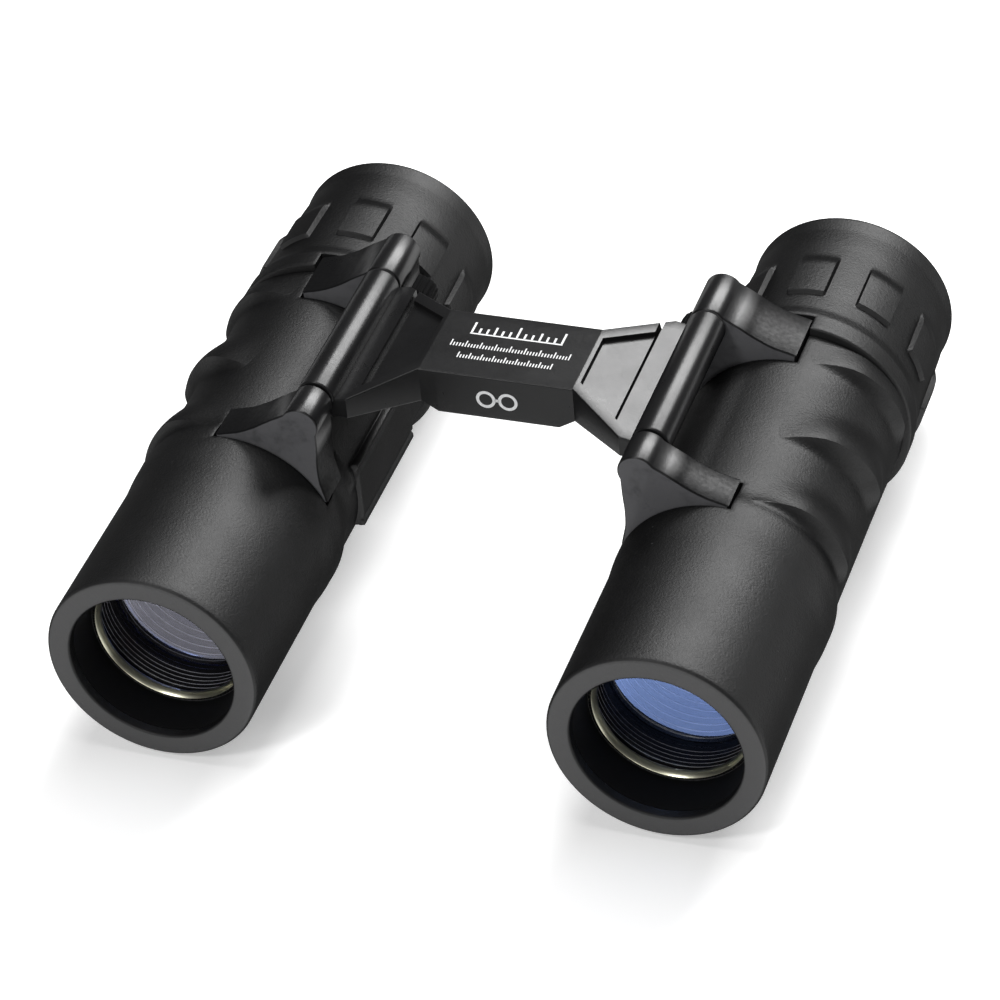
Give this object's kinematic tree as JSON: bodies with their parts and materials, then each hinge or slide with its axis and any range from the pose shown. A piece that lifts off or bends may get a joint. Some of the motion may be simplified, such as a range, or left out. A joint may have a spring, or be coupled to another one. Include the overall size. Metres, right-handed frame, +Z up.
{
  "type": "binoculars",
  "caption": "Compact roof-prism binoculars: straight rubber-covered barrels on a flat bridge with a hinge at each side, ridged grip areas and fixed soft eyecups.",
  "frame": {"origin": "on the surface the binoculars stand on, under the middle of the bridge and halfway between the objective rims and the eyecup rims", "axes": "+Z up, +Y towards the eyecups, -Y towards what is looked at, +X towards the right barrel seen from the objective side with the bridge on top"},
  "size_m": [0.1132, 0.112, 0.0409],
  "materials": {
    "bridge_satin": "satin black paint on a light metal casting",
    "hinge_satin": "satin black paint on a light metal casting",
    "armour_rubber": "matte black rubber with a fine grain",
    "rear_rubber": "matte black rubber with a fine grain",
    "tube_black": "black anodised tube",
    "pin_steel": "ground steel",
    "black_screw": "black oxide steel",
    "ring_silver": "bright turned ring",
    "coated_glass": "blue anti-reflection coating",
    "prism_glass": "polished glass",
    "black_plastic": "matt black",
    "strap_nylon": "ribbed black nylon"
  },
  "bodies": {
    "bridge": {"bridge": "bridge_satin"},
    "right_barrel": {"right_armour": "armour_rubber", "right_rear_sleeve": "rear_rubber", "right_body_tube": "tube_black", "right_front_hinge_lug": "hinge_satin", "right_rear_hinge_lug": "hinge_satin", "right_hinge_pin": "pin_steel", "right_hinge_cap_screw": "black_screw", "right_friction_washer": "black_plastic", "right_strap_loop": "strap_nylon", "right_objective_ring": "ring_silver", "right_crown_lens": "coated_glass", "right_flint_lens": "coated_glass", "right_light_baffle": "black_plastic", "right_prism_cage": "black_plastic", "right_entry_prism": "prism_glass", "right_roof_prism": "prism_glass", "right_prism_clip": "pin_steel", "right_field_stop": "black_plastic", "right_eyepiece_cell": "black_plastic", "right_field_ring": "black_plastic", "right_field_lens": "coated_glass", "right_eye_lens": "coated_glass", "right_eye_ring": "black_plastic"},
    "left_barrel": {"left_armour": "armour_rubber", "left_rear_sleeve": "rear_rubber", "left_body_tube": "tube_black", "left_front_hinge_lug": "hinge_satin", "left_rear_hinge_lug": "hinge_satin", "left_hinge_pin": "pin_steel", "left_hinge_cap_screw": "black_screw", "left_friction_washer": "black_plastic", "left_strap_loop": "strap_nylon", "left_objective_ring": "ring_silver", "left_crown_lens": "coated_glass", "left_flint_lens": "coated_glass", "left_light_baffle": "black_plastic", "left_prism_cage": "black_plastic", "left_entry_prism": "prism_glass", "left_roof_prism": "prism_glass", "left_prism_clip": "pin_steel", "left_field_stop": "black_plastic", "left_eyepiece_cell": "black_plastic", "left_field_ring": "black_plastic", "left_field_lens": "coated_glass", "left_eye_lens": "coated_glass", "left_eye_ring": "black_plastic"}
  },
  "joints": [
    {"name": "right_hinge", "type": "hinge", "parent": "bridge", "child": "right_barrel", "pos_m": [0.0264, 0, 0.0379], "axis": [0, 1, 0], "range_deg": [-6, 50]},
    {"name": "left_hinge", "type": "hinge", "parent": "bridge", "child": "left_barrel", "pos_m": [-0.0264, 0, 0.0379], "axis": [0, -1, 0], "range_deg": [-6, 50]}
  ]
}
